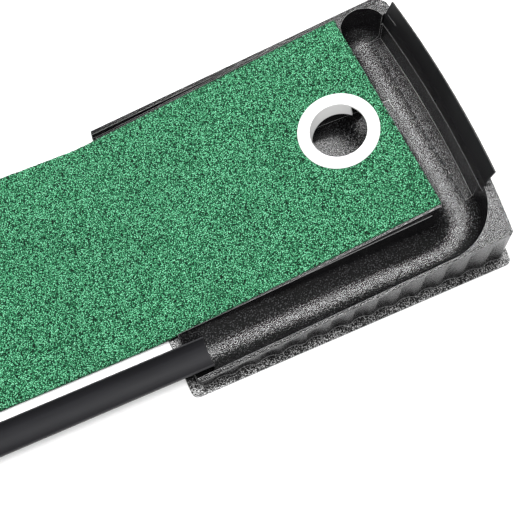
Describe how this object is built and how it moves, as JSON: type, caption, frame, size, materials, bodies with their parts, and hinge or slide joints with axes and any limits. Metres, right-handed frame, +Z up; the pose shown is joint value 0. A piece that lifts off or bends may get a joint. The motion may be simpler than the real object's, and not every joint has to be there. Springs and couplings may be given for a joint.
{
  "type": "practice putting mat",
  "caption": "Practice putting mat: a rolled turf strip runs up a formed plastic ramp to a cup, with a rear gutter, backstop and side track that return the ball.",
  "frame": {"origin": "middle of the footprint, on the floor", "axes": "+X along the mat towards the cup, +Y across the mat away from the return track, +Z up"},
  "size_m": [2.8304, 0.398, 0.1],
  "materials": {
    "formed_plastic": "pebble-grained black thermoformed sheet, slightly glossy",
    "smooth_plastic": "smooth black, satin",
    "white_plastic": "smooth white, semi-gloss",
    "hook_tape": "black hook tape",
    "loop_tape": "black loop tape",
    "turf": "dense short curled pile, green with darker and lighter flecks",
    "rubber_backing": "matt black foamed rubber",
    "track_plastic": "matt dark grey extruded plastic",
    "coupler_plastic": "matt black moulded plastic"
  },
  "bodies": {
    "tray": {"tray": "formed_plastic", "hook_strip_near": "hook_tape", "hook_strip_far": "hook_tape"},
    "backstop": {"backstop": "smooth_plastic"},
    "mat": {"turf_ramp": "turf", "turf_flat": "turf", "backing_ramp": "rubber_backing", "backing_flat": "rubber_backing", "loop_strip_near": "loop_tape", "loop_strip_far": "loop_tape"},
    "cup_ring": {"cup_ring": "white_plastic"},
    "track_upper": {"track_upper": "track_plastic", "coupler_upper": "coupler_plastic"},
    "track_middle": {"track_middle": "track_plastic", "coupler_lower": "coupler_plastic"},
    "track_lower": {"track_lower": "track_plastic"},
    "roll_1": {"turf_roll_1": "turf", "backing_roll_1": "rubber_backing"},
    "roll_2": {"turf_roll_2": "turf", "backing_roll_2": "rubber_backing"},
    "roll_3": {"turf_roll_3": "turf", "backing_roll_3": "rubber_backing"},
    "roll_4": {"turf_roll_4": "turf", "backing_roll_4": "rubber_backing"},
    "roll_5": {"turf_roll_5": "turf", "backing_roll_5": "rubber_backing"}
  },
  "joints": [
    {"name": "backstop_lift", "type": "slide", "parent": "tray", "child": "backstop", "axis": [0, 0, 1], "range_m": [0, 0.08]},
    {"name": "mat_lift", "type": "slide", "parent": "tray", "child": "mat", "axis": [0, 0, 1], "range_m": [0, 0.15]},
    {"name": "ring_lift", "type": "slide", "parent": "mat", "child": "cup_ring", "axis": [-0.1961, 0, 0.9806], "range_m": [0, 0.06]},
    {"name": "track_pull", "type": "slide", "parent": "tray", "child": "track_upper", "axis": [-1, 0, -0.0039], "range_m": [0, 0.06]},
    {"name": "track_upper_joint", "type": "slide", "parent": "track_upper", "child": "track_middle", "axis": [-1, 0, -0.0039], "range_m": [0, 0.05]},
    {"name": "track_lower_joint", "type": "slide", "parent": "track_middle", "child": "track_lower", "axis": [-1, 0, -0.0039], "range_m": [0, 0.05]},
    {"name": "curl_1", "type": "hinge", "parent": "mat", "child": "roll_1", "pos_m": [-0.81524, 0, 0.0053], "axis": [0, 1, 0], "range_deg": [0, 50]},
    {"name": "curl_2", "type": "hinge", "parent": "roll_1", "child": "roll_2", "pos_m": [-0.93524, 0, 0.0053], "axis": [0, 1, 0], "range_deg": [0, 50]},
    {"name": "curl_3", "type": "hinge", "parent": "roll_2", "child": "roll_3", "pos_m": [-1.05524, 0, 0.0053], "axis": [0, 1, 0], "range_deg": [0, 50]},
    {"name": "curl_4", "type": "hinge", "parent": "roll_3", "child": "roll_4", "pos_m": [-1.17524, 0, 0.0053], "axis": [0, 1, 0], "range_deg": [0, 50]},
    {"name": "curl_5", "type": "hinge", "parent": "roll_4", "child": "roll_5", "pos_m": [-1.29524, 0, 0.0053], "axis": [0, 1, 0], "range_deg": [0, 50]}
  ],
  "couplings": [
    {"joint": "curl_2", "follows": "curl_1", "ratio": 1},
    {"joint": "curl_3", "follows": "curl_1", "ratio": 1},
    {"joint": "curl_4", "follows": "curl_1", "ratio": 1},
    {"joint": "curl_5", "follows": "curl_1", "ratio": 1}
  ]
}
